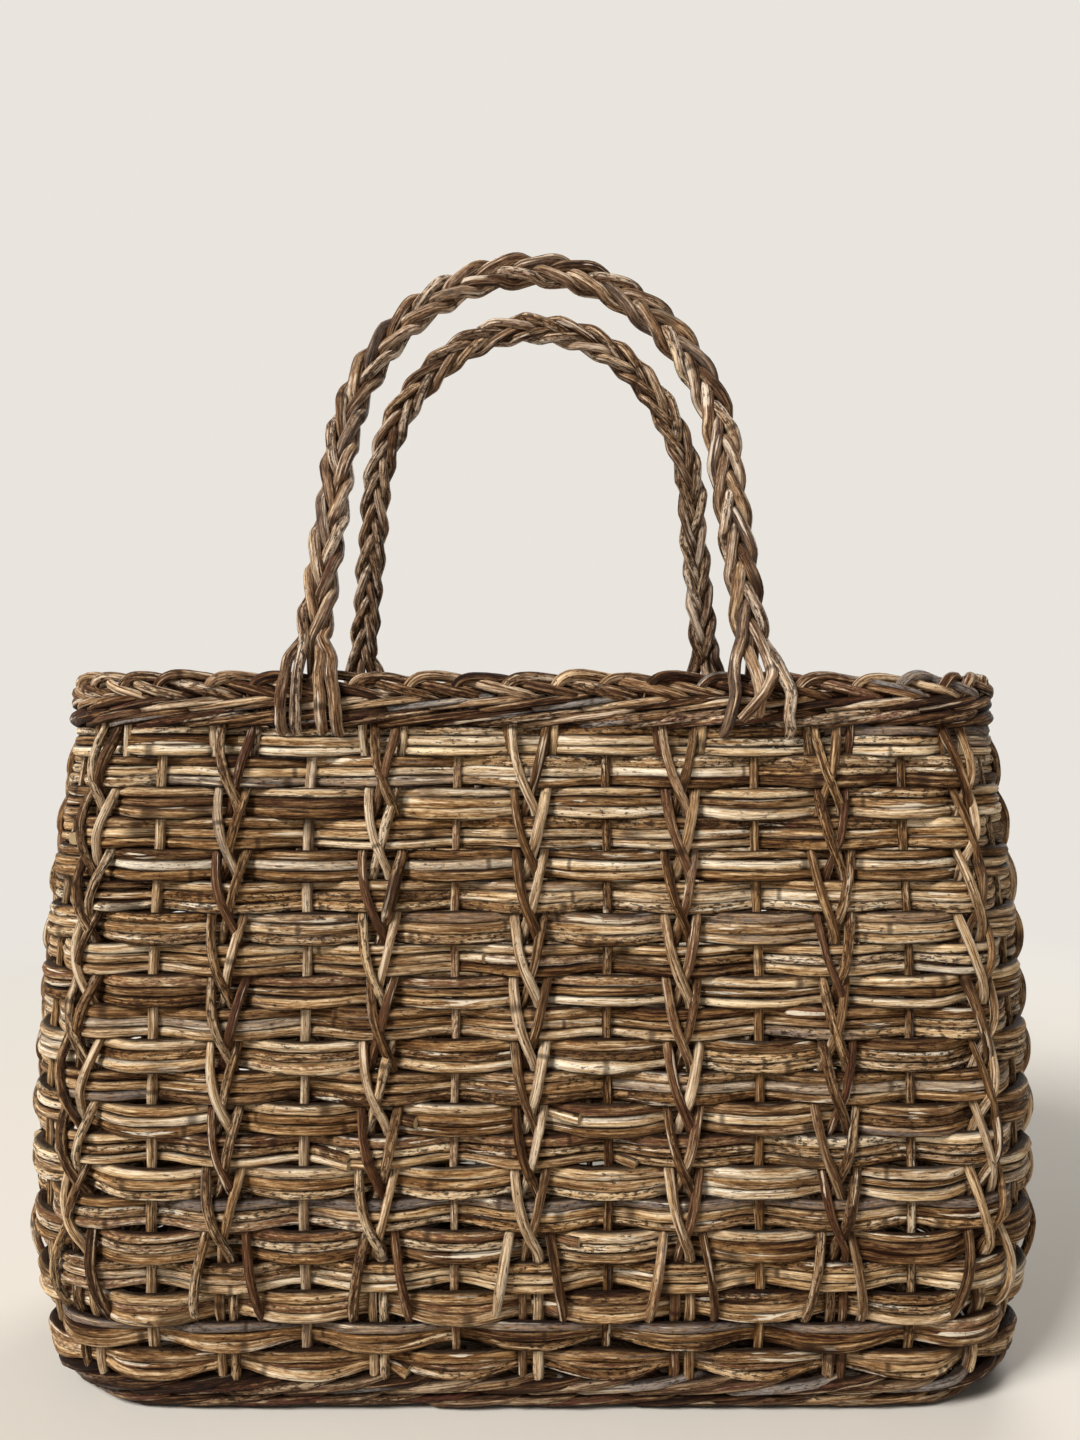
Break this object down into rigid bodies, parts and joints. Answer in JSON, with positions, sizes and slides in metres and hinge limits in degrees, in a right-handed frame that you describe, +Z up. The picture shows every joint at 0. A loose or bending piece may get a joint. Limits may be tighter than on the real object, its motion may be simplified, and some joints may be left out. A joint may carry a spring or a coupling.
{
  "type": "woven vine basket",
  "caption": "Oblong woven vine basket with rounded corners, needle-pattern columns, a twined rim and foot, and two plaited arch handles that flex at the rim.",
  "frame": {"origin": "on the ground under the middle of the basket", "axes": "+Z up, +X to the right along the long side, the front faces -Y"},
  "size_m": [0.3268, 0.1404, 0.3568],
  "materials": {
    "weaver_vine": "peeled and dried vine, satin, streaked straw to brown",
    "stake_vine": "dried vine with its bark, satin, mid brown",
    "rim_vine": "dried vine, satin, rubbed paler along the edges",
    "handle_vine": "plaited dried vine, polished by the hand"
  },
  "bodies": {
    "basket": {"back_handle_tails_left": "handle_vine", "back_handle_tails_right": "handle_vine", "base_weavers": "weaver_vine", "cross_stakes": "stake_vine", "end_stakes": "stake_vine", "foot_border": "rim_vine", "foot_twine": "rim_vine", "front_handle_tails_left": "handle_vine", "front_handle_tails_right": "handle_vine", "needle_pairs_back": "stake_vine", "needle_pairs_front": "stake_vine", "needle_pairs_left": "stake_vine", "needle_pairs_right": "stake_vine", "rim_border": "rim_vine", "rim_twine_1": "rim_vine", "rim_twine_2": "rim_vine", "side_row_01": "weaver_vine", "side_row_02": "weaver_vine", "side_row_03": "weaver_vine", "side_row_04": "weaver_vine", "side_row_05": "weaver_vine", "side_row_06": "weaver_vine", "side_row_07": "weaver_vine", "side_row_08": "weaver_vine", "side_row_09": "weaver_vine", "side_row_10": "weaver_vine", "side_row_11": "weaver_vine", "side_row_12": "weaver_vine", "side_row_13": "weaver_vine", "side_row_14": "weaver_vine", "side_row_15": "weaver_vine", "side_row_16": "weaver_vine", "side_row_17": "weaver_vine", "side_row_18": "weaver_vine", "side_row_19": "weaver_vine", "side_row_20": "weaver_vine", "side_row_21": "weaver_vine"},
    "front_handle": {"front_handle_strand_1": "handle_vine", "front_handle_strand_2": "handle_vine", "front_handle_strand_3": "handle_vine", "front_handle_strand_4": "handle_vine", "front_handle_strand_5": "handle_vine"},
    "back_handle": {"back_handle_strand_1": "handle_vine", "back_handle_strand_2": "handle_vine", "back_handle_strand_3": "handle_vine", "back_handle_strand_4": "handle_vine", "back_handle_strand_5": "handle_vine"}
  },
  "joints": [
    {"name": "front_handle_flex", "type": "hinge", "parent": "basket", "child": "front_handle", "pos_m": [0, -0.0505, 0.22775], "axis": [-1, 0, 0], "range_deg": [-25, 10], "stiffness_Nm_per_rad": 2},
    {"name": "back_handle_flex", "type": "hinge", "parent": "basket", "child": "back_handle", "pos_m": [0, 0.0505, 0.22775], "axis": [1, 0, 0], "range_deg": [-25, 10], "stiffness_Nm_per_rad": 2}
  ]
}
